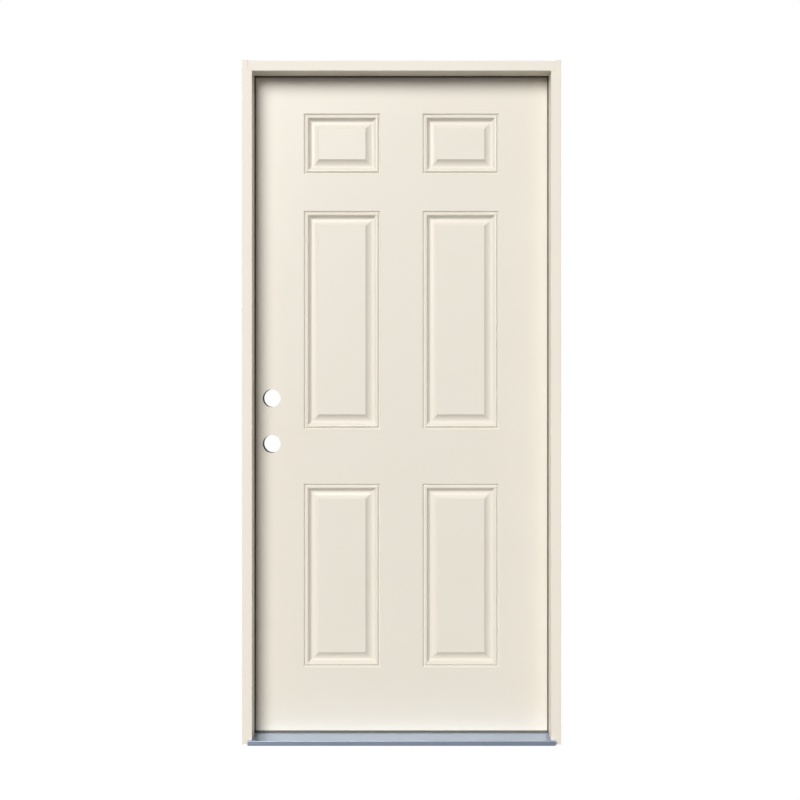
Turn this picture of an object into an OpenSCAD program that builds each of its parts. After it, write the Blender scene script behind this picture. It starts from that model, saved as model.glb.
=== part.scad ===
// A pre-hung, inswing, six-panel steel entry door in its rabbeted timber frame, bored for a
// lock and a deadbolt but with no lockset fitted.
//
// X runs across the door, to the right as seen from outside. +Y points indoors, +Z up.
// The origin is on the underside of the sill, mid-width, at half the depth of the jambs.

/* [Leaf] */
// Width of the leaf
leaf_w = 914.4; // [740:0.1:1100]
// Height of the leaf
leaf_h = 2006.6; // [1960:0.1:2420]
// Thickness of the leaf
leaf_t = 44.5; // [40:0.5:54]
// Gap between the leaf and the frame at both sides and at the head
leaf_gap = 3.2; // [2.4:0.1:4]
// Height of the leaf's bottom edge above the underside of the sill
leaf_lift = 22.2; // [21.8:0.1:30]

/* [Steel skins] */
// Thickness of the sheet steel
sheet_t = 0.6; // [0.4:0.1:0.9]
// How far each skin folds round onto the edge of the leaf
skin_fold = 9; // [5:0.5:9.3]
// Thickness of the glue line between a skin and what it covers
glue_t = 0.1; // [0.05:0.05:0.3]

/* [Panels] */
// Flat face between the edge of the leaf and the panels
side_face = 158.5; // [130:0.5:193]
// Flat face between the two columns of panels
middle_face = 128.4; // [80:0.1:155]
// Flat face above the top row of panels
top_face = 121.5; // [80:0.5:148]
// Height of the top row of panels
top_panel_h = 185.5; // [154:0.5:223]
// Flat face between the top and the middle row
upper_face = 111.9; // [60:0.1:135]
// Flat face between the middle and the bottom row
lock_face = 166.3; // [120:0.1:200]
// Height of the bottom row of panels
bottom_panel_h = 560.8; // [465:0.1:673]
// Flat face below the bottom row of panels
bottom_face = 192.6; // [150:0.1:235]
// Width of the narrow groove that outlines a panel
quirk_w = 9; // [5:0.1:11]
// Depth of the narrow groove
quirk_d = 4.8; // [1:0.1:5.5]
// Width of the rounded bead inside the groove
bead_w = 4.5; // [2:0.1:7]
// How far the bead has fallen below the face where the slope starts
bead_d = 0.8; // [0.2:0.1:1.5]
// Width of the hollow slope down to the valley
slope_w = 11.5; // [8:0.5:16]
// Depth of the valley
valley_d = 11; // [6:0.1:12]
// Width of the hollow bevel up to the raised field
bevel_w = 21; // [16:0.5:30]
// Depth of the raised field below the face of the leaf
field_d = 1.2; // [0.5:0.1:4]

/* [Timber inside the leaf] */
// Width of the timber stile along each side of the leaf
stile_w = 32; // [26:0.5:38]
// Height of the timber rail along the top
top_rail_h = 32; // [26:0.5:60]
// Height of the timber rail along the bottom
bottom_rail_h = 38; // [26:0.5:80]
// Width of the block that the lock bores go through
lock_block_w = 88; // [75:1:110]
// Height of that block
lock_block_h = 380; // [310:1:520]

/* [Lock bores] */
// Distance from the edge of the leaf to the middle of the bores
backset = 60.3; // [60.3:0.1:69.9]
// Diameter of the bores through the face
bore_d = 54; // [45:0.5:54]
// Height of the lock bore above the bottom of the leaf
lock_height = 875; // [760:1:1050]
// Distance from the lock bore up to the deadbolt bore
deadbolt_rise = 139.7; // [116:0.1:160]
// Diameter of the bores in the edge of the leaf and in the jamb
latch_bore_d = 25.4; // [20:0.1:25.4]
// Width of the mortise for a latch's face plate
face_plate_w = 25.4; // [20:0.1:25.4]
// Height of the mortise for a latch's face plate
face_plate_h = 57.2; // [50:0.1:68]
// Corner radius of the mortise for a latch's face plate
face_plate_r = 6.4; // [2:0.1:9]
// Depth of the mortise for a latch's face plate
face_plate_d = 3; // [1.5:0.1:4]
// Depth of the mortise for a strike plate in the jamb
strike_d = 2; // [1:0.1:3]

/* [Frame] */
// Depth of the jambs, from outside to inside
jamb_depth = 116; // [97:1:140]
// Thickness of the jambs behind the stop
jamb_t = 18; // [15:0.5:32]
// How far the stop stands into the opening
stop_w = 12; // [10:0.5:15]
// How far the side jambs stand above the head
horn_h = 2; // [0.5:0.5:30]
// Width of the kerf that holds the weatherstrip
kerf_w = 3; // [2.5:0.1:3.6]
// Depth of the kerf that holds the weatherstrip
kerf_depth = 9; // [7.5:0.1:12]
// Distance from the rabbet to the kerf
kerf_inset = 1.2; // [0.8:0.1:2]

/* [Weatherstrip] */
// Room between the stop and the leaf, which the weatherstrip fills
seal_room = 6.3; // [5:0.1:8]
// How far the weatherstrip stands past the edge of the stop
seal_proud = 3.5; // [1:0.1:5]
// Depth of the weatherstrip's barb in its kerf
barb_depth = 8; // [4:0.1:8.5]
// Thickness of the corner pads at the feet of the jambs
pad_t = 1.8; // [1:0.1:1.8]
// Width of the corner pads
pad_w = 24; // [15:0.5:34]
// Height of the corner pads
pad_h = 50; // [20:1:80]

/* [Sill] */
// How far the sill's nose stands out in front of the jambs
nose_out = 13; // [5:0.5:40]
// Height of the sill's nose
nose_h = 14.5; // [12:0.1:15.5]
// Height of the back edge of the sloping deck
deck_back_h = 17; // [16:0.1:17.2]
// Thickness of the aluminium deck
deck_t = 2; // [1.2:0.1:2.5]
// Radius of the deck's front edge
nose_r = 1.2; // [0.8:0.1:4]
// How far the deck's back flange reaches down into the base
deck_flange_h = 6; // [3:0.1:8]
// How far in front of the leaf the deck ends
deck_lap = 1.5; // [0.5:0.1:4]
// Height of the sill's base under the cap
sill_base_h = 12.5; // [10:0.1:13.5]
// Height of the top of the threshold cap
cap_top_h = 17.3; // [17.3:0.1:17.6]

/* [Sweep] */
// Thickness of the sweep's base strip
sweep_t = 1.6; // [1:0.1:2.4]
// Width of the sweep's base strip
sweep_w = 41; // [30:0.5:43]
// Clearance between the sweep's fins and the threshold cap
sweep_clear = 0.5; // [0.3:0.1:1]
// Thickness of one fin
fin_t = 1.4; // [0.8:0.1:2]
// Width of a barb of the sweep
sweep_barb_w = 2.4; // [1.6:0.1:3]
// Height of a barb of the sweep
sweep_barb_h = 8.8; // [6:0.1:12]

/* [Hinges] */
// Height of a hinge
hinge_h = 101.6; // [85:0.1:122]
// How far a hinge plate reaches across the edge of the leaf
hinge_reach = 38; // [32:0.5:42]
// Thickness of a hinge plate
hinge_t = 2.3; // [2.2:0.1:3]
// Corner radius of a hinge plate
hinge_r = 15.9; // [6:0.1:16]
// Radius of the hinge barrel
barrel_r = 6; // [5.4:0.1:6.2]
// Radius of the hinge pin
pin_r = 3.5; // [3:0.1:3.8]
// Height of the pin's head
pin_head_h = 3.2; // [2:0.1:6]
// How far the pin's tip stands out below the barrel
pin_tip = 2; // [1.5:0.1:5]
// Distance from the indoor face of the leaf to the hinge axis
axis_out = 7; // [6.8:0.1:9]
// Number of knuckles of a hinge
knuckles = 5; // [3:2:7]
// Distance from the top of the leaf to the top hinge
hinge_from_top = 178; // [140:1:220]
// Distance from the bottom of the leaf to the bottom hinge
hinge_from_bottom = 280; // [200:1:340]

/* [Screws] */
// Radius of a screw's shank
screw_r = 2.1; // [1.7:0.1:2.3]
// Radius of a screw's head
screw_head_r = 4.2; // [3.5:0.1:5]
// Height of a screw's countersunk head
screw_head_h = 2; // [1.5:0.1:2.2]
// Length of the hinge screws in the leaf
leaf_screw_l = 24; // [15:1:26]
// Length of the hinge screws in the jamb
jamb_screw_l = 16; // [12:1:17]
// Length of the screws that join the frame at its corners
corner_screw_l = 60; // [45:1:80]
// Length of the screws in the threshold cap
cap_screw_l = 13; // [8:1:15]
// How far the heads of the corner screws lie below the jamb's outer face
head_sink = 1; // [0.2:0.1:4]
// Distance from the jamb's edges to the corner screws
screw_edge = 14; // [12:1:30]

/* [Clearances] */
// Radial clearance of the hinge pin in its knuckles
pin_fit = 0.05; // [0.02:0.01:0.09]
// Gap between neighbouring knuckles
knuckle_gap = 0.2; // [0.1:0.1:0.6]
// Clearance round a plate in its mortise
mortise_fit = 0.2; // [0.1:0.1:0.5]
// Clearance round a screw in its hole
screw_fit = 0.05; // [0.02:0.01:0.1]
// Clearance on each side of a barb in its kerf
barb_fit = 0.1; // [0.05:0.01:0.2]
// Clearance between weatherstrip and what it closes against
seal_fit = 0.3; // [0.2:0.1:0.6]
// Clearance between a hinge plate and the other plate's knuckles
plate_clear = 0.6; // [0.4:0.1:0.8]

/* [Hidden] */
$fn = 64;
CUT = 1; // how far a cutting shape runs past the face that it opens

// Across the door
leaf_edge = leaf_w / 2;
rabbet_x = leaf_edge + leaf_gap;
outer_x = rabbet_x + jamb_t;
stile_edge = leaf_edge - sheet_t;
stile_in = leaf_edge - stile_w;
bore_x = -leaf_edge + backset;

// Through the door
outside_y = -jamb_depth / 2;
inside_y = jamb_depth / 2;
leaf_front = inside_y - leaf_t;
leaf_mid = inside_y - leaf_t / 2;
stop_y = leaf_front - seal_room;
core_t = leaf_t - 2 * (sheet_t + glue_t);
nose_y = outside_y - nose_out;
deck_back_y = leaf_front - deck_lap;

// Up the door
leaf_top = leaf_lift + leaf_h;
rabbet_z = leaf_top + leaf_gap;
stop_z = rabbet_z - stop_w;
head_top = rabbet_z + jamb_t;
leg_top = head_top + horn_h;
lock_z = leaf_lift + lock_height;
deadbolt_z = lock_z + deadbolt_rise;
block_z = (lock_z + deadbolt_z) / 2;

// Panels: the middle of each column and, for each row, its middle and its height
panel_w = (leaf_w - 2 * side_face - middle_face) / 2;
column_x = (panel_w + middle_face) / 2;
middle_panel_h = leaf_h - top_face - top_panel_h - upper_face - lock_face
    - bottom_panel_h - bottom_face;
bottom_row_z = leaf_lift + bottom_face + bottom_panel_h / 2;
middle_row_z = leaf_lift + bottom_face + bottom_panel_h + lock_face + middle_panel_h / 2;
top_row_z = leaf_top - top_face - top_panel_h / 2;
ROWS = [[bottom_row_z, bottom_panel_h], [middle_row_z, middle_panel_h], [top_row_z, top_panel_h]];

// Hinges
axis_x = leaf_edge + leaf_gap / 2;
axis_y = inside_y + axis_out;
top_hinge_z = leaf_top - hinge_from_top - hinge_h / 2;
bottom_hinge_z = leaf_lift + hinge_from_bottom + hinge_h / 2;
middle_hinge_z = (top_hinge_z + bottom_hinge_z) / 2;
HINGE_Z = [top_hinge_z, middle_hinge_z, bottom_hinge_z];
// How far short of the axis a plate stops
plate_end = sqrt(pow(barrel_r + plate_clear, 2) - pow(leaf_gap / 2, 2));
knuckle_h = hinge_h / knuckles;
// Screw holes of a plate: [share of its reach from the indoor face, share of half its height]
HINGE_HOLES = [[0.32, 0.79], [0.7, 0.27], [0.7, -0.27], [0.32, -0.79]];

// Places of the joining screws, of the sweep's fins and of its barbs
cap_mid_y = (deck_back_y + inside_y) / 2;
CAP_SCREW_X = [for (i = [-1.5:1:1.5]) i * rabbet_x / 2];
HEAD_SCREW_Y = [outside_y + screw_edge, 0, inside_y - screw_edge];
SILL_SCREW_Y = [outside_y + screw_edge, cap_mid_y];
SWEEP_FIN_Y = [for (i = [-1.5:1:1.5]) leaf_mid + i * (sweep_w - 2 * fin_t) / 3];
SWEEP_BARB_Y = [for (i = [-1, 1]) leaf_mid + i * sweep_w / 4];

// ---------------------------------------------------------------- panel moulding

// Section of the moulding from a panel's outline inwards: [inset, depth below the face]
QUIRK = [[0, 0], [quirk_w / 2, quirk_d], [quirk_w, bead_d / 4]];
BEAD = [for (t = [0.5:0.5:1]) [quirk_w + bead_w * t, bead_d / 4 + bead_d * 3 / 4 * t * t]];
SLOPE = [for (t = [0.125:0.125:1])
    [quirk_w + bead_w + slope_w * t, bead_d + (valley_d - bead_d) * sin(90 * t)]];
BEVEL = [for (t = [0.2:0.2:1.01])
    [quirk_w + bead_w + slope_w + bevel_w * t, valley_d - (valley_d - field_d) * t * t]];
MOULDING = concat(QUIRK, BEAD, SLOPE, BEVEL);

// The same section sunk by a distance, with its first slope carried on out to a level
function sunk_moulding(sink, level) = concat(
    [[(level - sink) * MOULDING[1][0] / MOULDING[1][1], level]],
    [for (i = [1:len(MOULDING) - 1]) [MOULDING[i][0], MOULDING[i][1] + sink]]);

// A solid under a section that runs round a rectangle, with the face plane on y = 0
module framed_panel(w, h, section) {
    corners = [[-1, -1], [1, -1], [1, 1], [-1, 1]];
    last = len(section) - 1;
    points = [for (s = section) for (c = corners)
        [c[0] * (w / 2 - s[0]), s[1], c[1] * (h / 2 - s[0])]];
    sides = [for (i = [0:last - 1]) for (j = [0:3])
        [4 * i + j, 4 * i + (j + 1) % 4, 4 * i + 4 + (j + 1) % 4, 4 * i + 4 + j]];
    front = [[3, 2, 1, 0]];
    back = [[for (j = [0:3]) 4 * last + j]];
    polyhedron(points, concat(front, sides, back));
}

// All six panels of one face, with the face plane on y = 0 and the leaf behind it
module panels(sink, level) {
    section = sunk_moulding(sink, level);
    for (side = [-1, 1], row = ROWS)
        translate([side * column_x, 0, row[0]]) framed_panel(panel_w, row[1], section);
}

// Puts a face's shapes on the outdoor (-1) or the indoor (1) face of the leaf
module on_face(side) {
    translate([0, side < 0 ? leaf_front : inside_y, 0])
        mirror([0, side < 0 ? 0 : 1, 0]) children();
}

// ---------------------------------------------------------------- shared shapes

// A screw along -Z with the top of its head on z = 0
module screw(length) {
    slot_w = screw_r / 2;
    difference() {
        union() {
            translate([0, 0, -screw_head_h])
                cylinder(r1 = screw_r, r2 = screw_head_r, h = screw_head_h);
            translate([0, 0, -length]) cylinder(r = screw_r, h = length - screw_head_h / 2);
        }
        for (turn = [0, 90]) rotate(turn)
            translate([-screw_r, -slot_w / 2, -screw_head_h / 2])
                cube([2 * screw_r, slot_w, screw_head_h / 2 + CUT]);
    }
}

// The hole for it, open above the head
module screw_hole(length) {
    translate([0, 0, -screw_head_h])
        cylinder(r1 = screw_r + screw_fit, r2 = screw_head_r + screw_fit, h = screw_head_h);
    cylinder(r = screw_head_r + screw_fit, h = head_sink + CUT);
    translate([0, 0, -length - screw_fit])
        cylinder(r = screw_r + screw_fit, h = length);
}

// Puts the same shapes on the hinge side (+X) and, mirrored, on the strike side
module on_both_sides() {
    for (side = [0, 1]) mirror([side, 0, 0]) children();
}

// A flat plate with four rounded corners, lying in the YZ plane from x = 0 to t
module rounded_plate(w, h, t, r) {
    translate([0, -w / 2, r - h / 2]) cube([t, w, h - 2 * r]);
    translate([0, r - w / 2, -h / 2]) cube([t, w - 2 * r, h]);
    for (y = [-1, 1], z = [-1, 1])
        translate([0, y * (w / 2 - r), z * (h / 2 - r)])
            rotate([0, 90, 0]) cylinder(r = r, h = t);
}

// The bores through the faces, at the lock and at the deadbolt
module face_bores() {
    for (z = [lock_z, deadbolt_z])
        translate([bore_x, leaf_front - CUT, z])
            rotate([-90, 0, 0]) cylinder(d = bore_d, h = leaf_t + 2 * CUT);
}

// The bores in from the lock edge of the leaf, with their face plates' mortises
module edge_bores() {
    for (z = [lock_z, deadbolt_z]) translate([0, leaf_mid, z]) {
        translate([-leaf_edge - CUT, 0, 0])
            rotate([0, 90, 0]) cylinder(d = latch_bore_d, h = backset + CUT);
        translate([-leaf_edge - CUT, 0, 0])
            rounded_plate(face_plate_w, face_plate_h, face_plate_d + CUT, face_plate_r);
    }
}

// ---------------------------------------------------------------- hinges

// The flat of a hinge plate, grown by a clearance: x is 0 at its face, y is from the axis
module hinge_flat(grow, near) {
    far = axis_out + hinge_reach + grow;
    r = hinge_r + grow;
    h = hinge_h + 2 * grow;
    translate([0, r - far, -h / 2]) cube([hinge_t, far - r - near, h]);
    translate([0, -far, r - h / 2]) cube([hinge_t, r, h - 2 * r]);
    for (z = [-1, 1])
        translate([0, r - far, z * (h / 2 - r)])
            rotate([0, 90, 0]) cylinder(r = r, h = hinge_t);
}

// Screw places on one plate's face: side 1 is the frame's plate, side -1 the leaf's
module hinge_screws_at(side) {
    for (hole = HINGE_HOLES)
        translate([side * leaf_gap / 2, -axis_out - hole[0] * hinge_reach,
            hole[1] * hinge_h / 2])
            rotate([0, -90 * side, 0]) children();
}

function hinge_screw_l(side) = side > 0 ? jamb_screw_l : leaf_screw_l;

// One half of a hinge round its own axis
module hinge_leaf(side) {
    first = side > 0 ? 0 : 1;
    overlap = 0.1;
    root_y = -0.75 * barrel_r;
    color([0.72, 0.71, 0.68]) difference() {
        union() {
            mirror([side < 0 ? 1 : 0, 0, 0]) translate([leaf_gap / 2, 0, 0]) {
                hinge_flat(0, plate_end);
                for (i = [first:2:knuckles - 1])
                    translate([0, -plate_end - overlap,
                        i * knuckle_h - hinge_h / 2 + knuckle_gap / 2])
                        cube([hinge_t, root_y + plate_end + overlap, knuckle_h - knuckle_gap]);
            }
            for (i = [first:2:knuckles - 1])
                translate([0, 0, i * knuckle_h - hinge_h / 2 + knuckle_gap / 2])
                    cylinder(r = barrel_r, h = knuckle_h - knuckle_gap);
        }
        translate([0, 0, -hinge_h]) cylinder(r = pin_r + pin_fit, h = 2 * hinge_h);
        hinge_screws_at(side) screw_hole(hinge_screw_l(side));
    }
}

// A pin with a bevelled button for a head, its foot bevelled too
module hinge_pin() {
    barrel_top = (hinge_h - knuckle_gap) / 2;
    bevel = pin_head_h / 2;
    tip_bevel = 1;
    color([0.75, 0.74, 0.71]) rotate_extrude() polygon([
        [0, -barrel_top - pin_tip], [pin_r - tip_bevel, -barrel_top - pin_tip],
        [pin_r, tip_bevel - barrel_top - pin_tip], [pin_r, barrel_top], [barrel_r, barrel_top],
        [barrel_r, barrel_top + bevel], [barrel_r - bevel, barrel_top + pin_head_h],
        [0, barrel_top + pin_head_h]
    ]);
}

module hinge_screws(side) {
    color([0.72, 0.71, 0.68])
        hinge_screws_at(side) screw(hinge_screw_l(side));
}

module at_hinge(z) {
    translate([axis_x, axis_y, z]) children();
}

// The mortises and screw holes of all three hinges, in the jamb (1) or in the leaf (-1)
module hinge_mortises(side) {
    for (z = HINGE_Z) at_hinge(z) {
        mirror([side < 0 ? 1 : 0, 0, 0]) translate([leaf_gap / 2, 0, 0])
            hinge_flat(mortise_fit, 0);
        hinge_screws_at(side) screw_hole(hinge_screw_l(side));
    }
}

// ---------------------------------------------------------------- frame

// Section of a jamb: x is 0 on the rabbet and grows outwards, y is as on the door
module jamb_section() {
    kerf_near = -kerf_inset;
    kerf_far = -kerf_inset - kerf_w;
    polygon([
        [-stop_w, outside_y], [jamb_t, outside_y], [jamb_t, inside_y], [0, inside_y],
        [0, stop_y], [kerf_near, stop_y], [kerf_near, stop_y - kerf_depth],
        [kerf_far, stop_y - kerf_depth], [kerf_far, stop_y], [-stop_w, stop_y]
    ]);
}

// Height of the deck's upper face at a place through the door
function deck_z(y) = nose_h + (deck_back_h - nose_h) * (y - nose_y) / (deck_back_y - nose_y);

// One side jamb on the +X side, with its stop cut off along the deck and under the head
module side_jamb() {
    difference() {
        translate([rabbet_x, 0, 0]) linear_extrude(leg_top) jamb_section();
        translate([rabbet_x - stop_w - CUT, outside_y - CUT, stop_z])
            cube([stop_w + CUT, jamb_depth + 2 * CUT, leg_top]);
        translate([rabbet_x, 0, 0]) rotate([90, 0, -90]) linear_extrude(stop_w + CUT)
            polygon([for (p = [
                [outside_y - CUT, -CUT], [outside_y - CUT, deck_z(outside_y - CUT)],
                [stop_y + CUT, deck_z(stop_y + CUT)], [stop_y + CUT, -CUT]
            ]) [-p[0], p[1]]]);
        head_screws_at() screw_hole(corner_screw_l);
        sill_screws_at() screw_hole(corner_screw_l);
    }
}

// Screw places on the outer face of the +X side jamb, with the heads sunk below it
module head_screws_at() {
    for (y = HEAD_SCREW_Y)
        translate([outer_x - head_sink, y, rabbet_z + jamb_t / 2]) rotate([0, 90, 0]) children();
}

module sill_screws_at() {
    for (y = SILL_SCREW_Y)
        translate([outer_x - head_sink, y, sill_base_h / 2]) rotate([0, 90, 0]) children();
}

module hinge_jamb() {
    color([0.945, 0.914, 0.863]) difference() {
        side_jamb();
        hinge_mortises(1);
    }
}

module strike_jamb() {
    color([0.945, 0.914, 0.863]) difference() {
        mirror([1, 0, 0]) side_jamb();
        for (z = [lock_z, deadbolt_z]) translate([0, leaf_mid, z]) {
            translate([-rabbet_x - strike_d, 0, 0])
                rounded_plate(face_plate_w, face_plate_h, strike_d + CUT, face_plate_r);
            translate([-outer_x - CUT, 0, 0])
                rotate([0, 90, 0]) cylinder(d = latch_bore_d, h = jamb_t + CUT);
        }
    }
}

module head_jamb() {
    color([0.945, 0.914, 0.863]) difference() {
        translate([-rabbet_x, 0, rabbet_z]) rotate([0, 90, 0])
            linear_extrude(2 * rabbet_x) mirror([1, 0]) jamb_section();
        on_both_sides() head_screws_at() screw_hole(corner_screw_l);
    }
}

module head_joint_screws() {
    color([0.70, 0.66, 0.55]) on_both_sides() head_screws_at() screw(corner_screw_l);
}

module sill_joint_screws() {
    color([0.70, 0.66, 0.55]) on_both_sides() sill_screws_at() screw(corner_screw_l);
}

// ---------------------------------------------------------------- sill

// Lays a section drawn as [through the door, up] along the door between two places
module along_sill(half_l) {
    translate([-half_l, 0, 0]) rotate([90, 0, 90]) linear_extrude(2 * half_l) children();
}

module sill_base() {
    front = nose_y + deck_t;
    flange_front = deck_back_y - deck_t;
    flange_foot = deck_back_h - deck_t - deck_flange_h;
    color([0.35, 0.33, 0.30]) difference() {
        along_sill(rabbet_x) polygon([
            [front, 0], [inside_y, 0], [inside_y, sill_base_h], [deck_back_y, sill_base_h],
            [deck_back_y, flange_foot], [flange_front, flange_foot],
            [flange_front, deck_z(flange_front) - deck_t], [front, deck_z(front) - deck_t]
        ]);
        cap_screws_at() screw_hole(cap_screw_l);
        on_both_sides() sill_screws_at() screw_hole(corner_screw_l);
    }
}

module sill_deck() {
    front = nose_y + deck_t;
    flange_front = deck_back_y - deck_t;
    flange_foot = deck_back_h - deck_t - deck_flange_h;
    top_front = deck_z(nose_y + nose_r);
    color([0.72, 0.75, 0.80]) along_sill(rabbet_x) polygon(concat(
        [[front, 0], [nose_y, 0]],
        [for (a = [180:-15:90])
            [nose_y + nose_r + nose_r * cos(a), top_front - nose_r + nose_r * sin(a)]],
        [[deck_back_y, deck_back_h], [deck_back_y, flange_foot], [flange_front, flange_foot],
            [flange_front, deck_z(flange_front) - deck_t], [front, deck_z(front) - deck_t]]
    ));
}

module cap_screws_at() {
    for (x = CAP_SCREW_X) translate([x, cap_mid_y, cap_top_h]) children();
}

module threshold_cap() {
    front = deck_back_y + mortise_fit;
    ease = 1;
    color([0.62, 0.60, 0.56]) difference() {
        along_sill(rabbet_x - mortise_fit) polygon([
            [front, sill_base_h], [inside_y, sill_base_h], [inside_y, cap_top_h - 2 * ease],
            [inside_y - 2 * ease, cap_top_h], [front + ease, cap_top_h],
            [front, cap_top_h - ease]
        ]);
        cap_screws_at() screw_hole(cap_screw_l);
    }
}

module threshold_cap_screws() {
    color([0.72, 0.71, 0.68]) cap_screws_at() screw(cap_screw_l);
}

// ---------------------------------------------------------------- weatherstrip

// Section of the bulb, as jamb_section places it
module bulb_section() {
    r = (seal_room - seal_fit) / 2;
    nose = -stop_w - seal_proud + r;
    back = -kerf_inset / 2;
    snip = 1;
    polygon(concat(
        [for (a = [90:15:270]) [nose + r * cos(a), stop_y + r + r * sin(a)]],
        [[back, stop_y], [back, stop_y + 2 * r - snip], [back - snip, stop_y + 2 * r]]
    ));
}

module barb_section() {
    near = -kerf_inset - barb_fit;
    far = -kerf_inset - kerf_w + barb_fit;
    polygon([[near, stop_y], [near, stop_y - barb_depth], [far, stop_y - barb_depth], [far, stop_y]]);
}

// The weatherstrip of the +X side, mitred at the head
module side_seal() {
    foot = cap_top_h + seal_fit;
    color([0.32, 0.28, 0.24]) {
        difference() {
            translate([rabbet_x, 0, foot]) linear_extrude(rabbet_z - foot) bulb_section();
            mitre_cut(-1);
        }
        translate([rabbet_x, 0, foot]) linear_extrude(stop_z - foot - seal_fit) barb_section();
    }
}

// A wedge past the mitre at the +X top corner: side -1 takes the head's part, 1 the jamb's
module mitre_cut(side) {
    reach = 3 * (stop_w + seal_proud);
    translate([rabbet_x, 0, rabbet_z]) rotate([90, 0, 0])
        linear_extrude(jamb_depth, center = true)
            polygon(side < 0 ? [[reach, reach], [-reach, -reach], [-reach, reach]]
                : [[reach, reach], [-reach, -reach], [reach, -reach]]);
}

module hinge_side_seal() {
    side_seal();
}

module strike_side_seal() {
    mirror([1, 0, 0]) side_seal();
}

module head_seal() {
    half_l = rabbet_x - kerf_inset / 2;
    color([0.32, 0.28, 0.24]) {
        difference() {
            translate([-half_l, 0, rabbet_z]) rotate([0, 90, 0])
                linear_extrude(2 * half_l) mirror([1, 0]) bulb_section();
            on_both_sides() mitre_cut(1);
        }
        translate([-half_l, 0, rabbet_z]) rotate([0, 90, 0])
            linear_extrude(2 * half_l) mirror([1, 0]) barb_section();
    }
}

// A thin self-adhesive pad in the rabbet, where the side weatherstrip ends
module corner_pad() {
    color([0.25, 0.24, 0.23])
        translate([rabbet_x - pad_t, leaf_front, cap_top_h + seal_fit])
            cube([pad_t, pad_w, pad_h]);
}

module hinge_corner_pad() {
    corner_pad();
}

module strike_corner_pad() {
    mirror([1, 0, 0]) corner_pad();
}

// ---------------------------------------------------------------- leaf

// A timber or foam block between the skins, given its two ends across and up the leaf
module between_skins(x0, x1, z0, z1) {
    translate([x0, leaf_front + sheet_t + glue_t, z0]) cube([x1 - x0, core_t, z1 - z0]);
}

module hinge_stile() {
    color([0.80, 0.66, 0.46]) difference() {
        between_skins(stile_in, stile_edge, leaf_lift, leaf_top);
        hinge_mortises(-1);
    }
}

module lock_stile() {
    color([0.80, 0.66, 0.46]) difference() {
        between_skins(-stile_edge, -stile_in, leaf_lift, leaf_top);
        edge_bores();
    }
}

module top_rail() {
    color([0.80, 0.66, 0.46])
        between_skins(-stile_in, stile_in, leaf_top - top_rail_h, leaf_top);
}

module bottom_rail() {
    color([0.80, 0.66, 0.46]) difference() {
        between_skins(-stile_in, stile_in, leaf_lift, leaf_lift + bottom_rail_h);
        for (y = SWEEP_BARB_Y)
            translate([-leaf_edge, y - sweep_barb_w / 2 - barb_fit, leaf_lift - CUT])
                cube([leaf_w, sweep_barb_w + 2 * barb_fit, sweep_barb_h + barb_fit + CUT]);
    }
}

module lock_block() {
    color([0.76, 0.62, 0.42]) difference() {
        between_skins(-stile_in, lock_block_w - stile_in,
            block_z - lock_block_h / 2, block_z + lock_block_h / 2);
        face_bores();
        edge_bores();
    }
}

module foam_core() {
    color([0.93, 0.89, 0.66]) difference() {
        between_skins(-stile_in, stile_in, leaf_lift + bottom_rail_h, leaf_top - top_rail_h);
        translate([-stile_in - CUT, leaf_front, block_z - lock_block_h / 2])
            cube([lock_block_w + CUT, leaf_t, lock_block_h]);
        for (side = [-1, 1]) on_face(side) panels(sheet_t + glue_t, 0);
    }
}

// One skin: a pressed sheet with the six panels in it, folded onto both edges of the leaf
module skin(side) {
    difference() {
        on_face(side) difference() {
            union() {
                translate([-leaf_edge, 0, leaf_lift]) cube([leaf_w, sheet_t, leaf_h]);
                for (x = [-leaf_edge, leaf_edge - sheet_t])
                    translate([x, 0, leaf_lift]) cube([sheet_t, skin_fold, leaf_h]);
                panels(sheet_t, sheet_t / 2);
            }
            panels(0, -CUT);
        }
        face_bores();
        hinge_mortises(-1);
    }
}

module exterior_skin() {
    color([0.914, 0.886, 0.831]) skin(-1);
}

module interior_skin() {
    color([0.914, 0.886, 0.831]) skin(1);
}

module door_sweep() {
    foot = cap_top_h + sweep_clear;
    end_gap = 2;
    half_l = leaf_edge - end_gap;
    color([0.28, 0.25, 0.22]) {
        translate([-half_l, leaf_mid - sweep_w / 2, leaf_lift - sweep_t])
            cube([2 * half_l, sweep_w, sweep_t]);
        for (y = SWEEP_FIN_Y)
            translate([-half_l, y - fin_t / 2, foot])
                cube([2 * half_l, fin_t, leaf_lift - sweep_t / 2 - foot]);
        for (y = SWEEP_BARB_Y)
            translate([-stile_in + barb_fit, y - sweep_barb_w / 2, leaf_lift - sweep_t / 2])
                cube([2 * (stile_in - barb_fit), sweep_barb_w, sweep_barb_h + sweep_t / 2]);
    }
}

// ---------------------------------------------------------------- nodes

strike_jamb();
hinge_jamb();
head_jamb();
sill_base();
sill_deck();
threshold_cap();
threshold_cap_screws();
head_joint_screws();
sill_joint_screws();
strike_side_seal();
hinge_side_seal();
head_seal();
strike_corner_pad();
hinge_corner_pad();
at_hinge(top_hinge_z) hinge_leaf(1);  // top_hinge_frame_leaf
at_hinge(top_hinge_z) hinge_pin();  // top_hinge_pin
at_hinge(top_hinge_z) hinge_screws(1);  // top_hinge_frame_screws
at_hinge(top_hinge_z) hinge_leaf(-1);  // top_hinge_door_leaf
at_hinge(top_hinge_z) hinge_screws(-1);  // top_hinge_door_screws
at_hinge(middle_hinge_z) hinge_leaf(1);  // middle_hinge_frame_leaf
at_hinge(middle_hinge_z) hinge_pin();  // middle_hinge_pin
at_hinge(middle_hinge_z) hinge_screws(1);  // middle_hinge_frame_screws
at_hinge(middle_hinge_z) hinge_leaf(-1);  // middle_hinge_door_leaf
at_hinge(middle_hinge_z) hinge_screws(-1);  // middle_hinge_door_screws
at_hinge(bottom_hinge_z) hinge_leaf(1);  // bottom_hinge_frame_leaf
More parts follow.
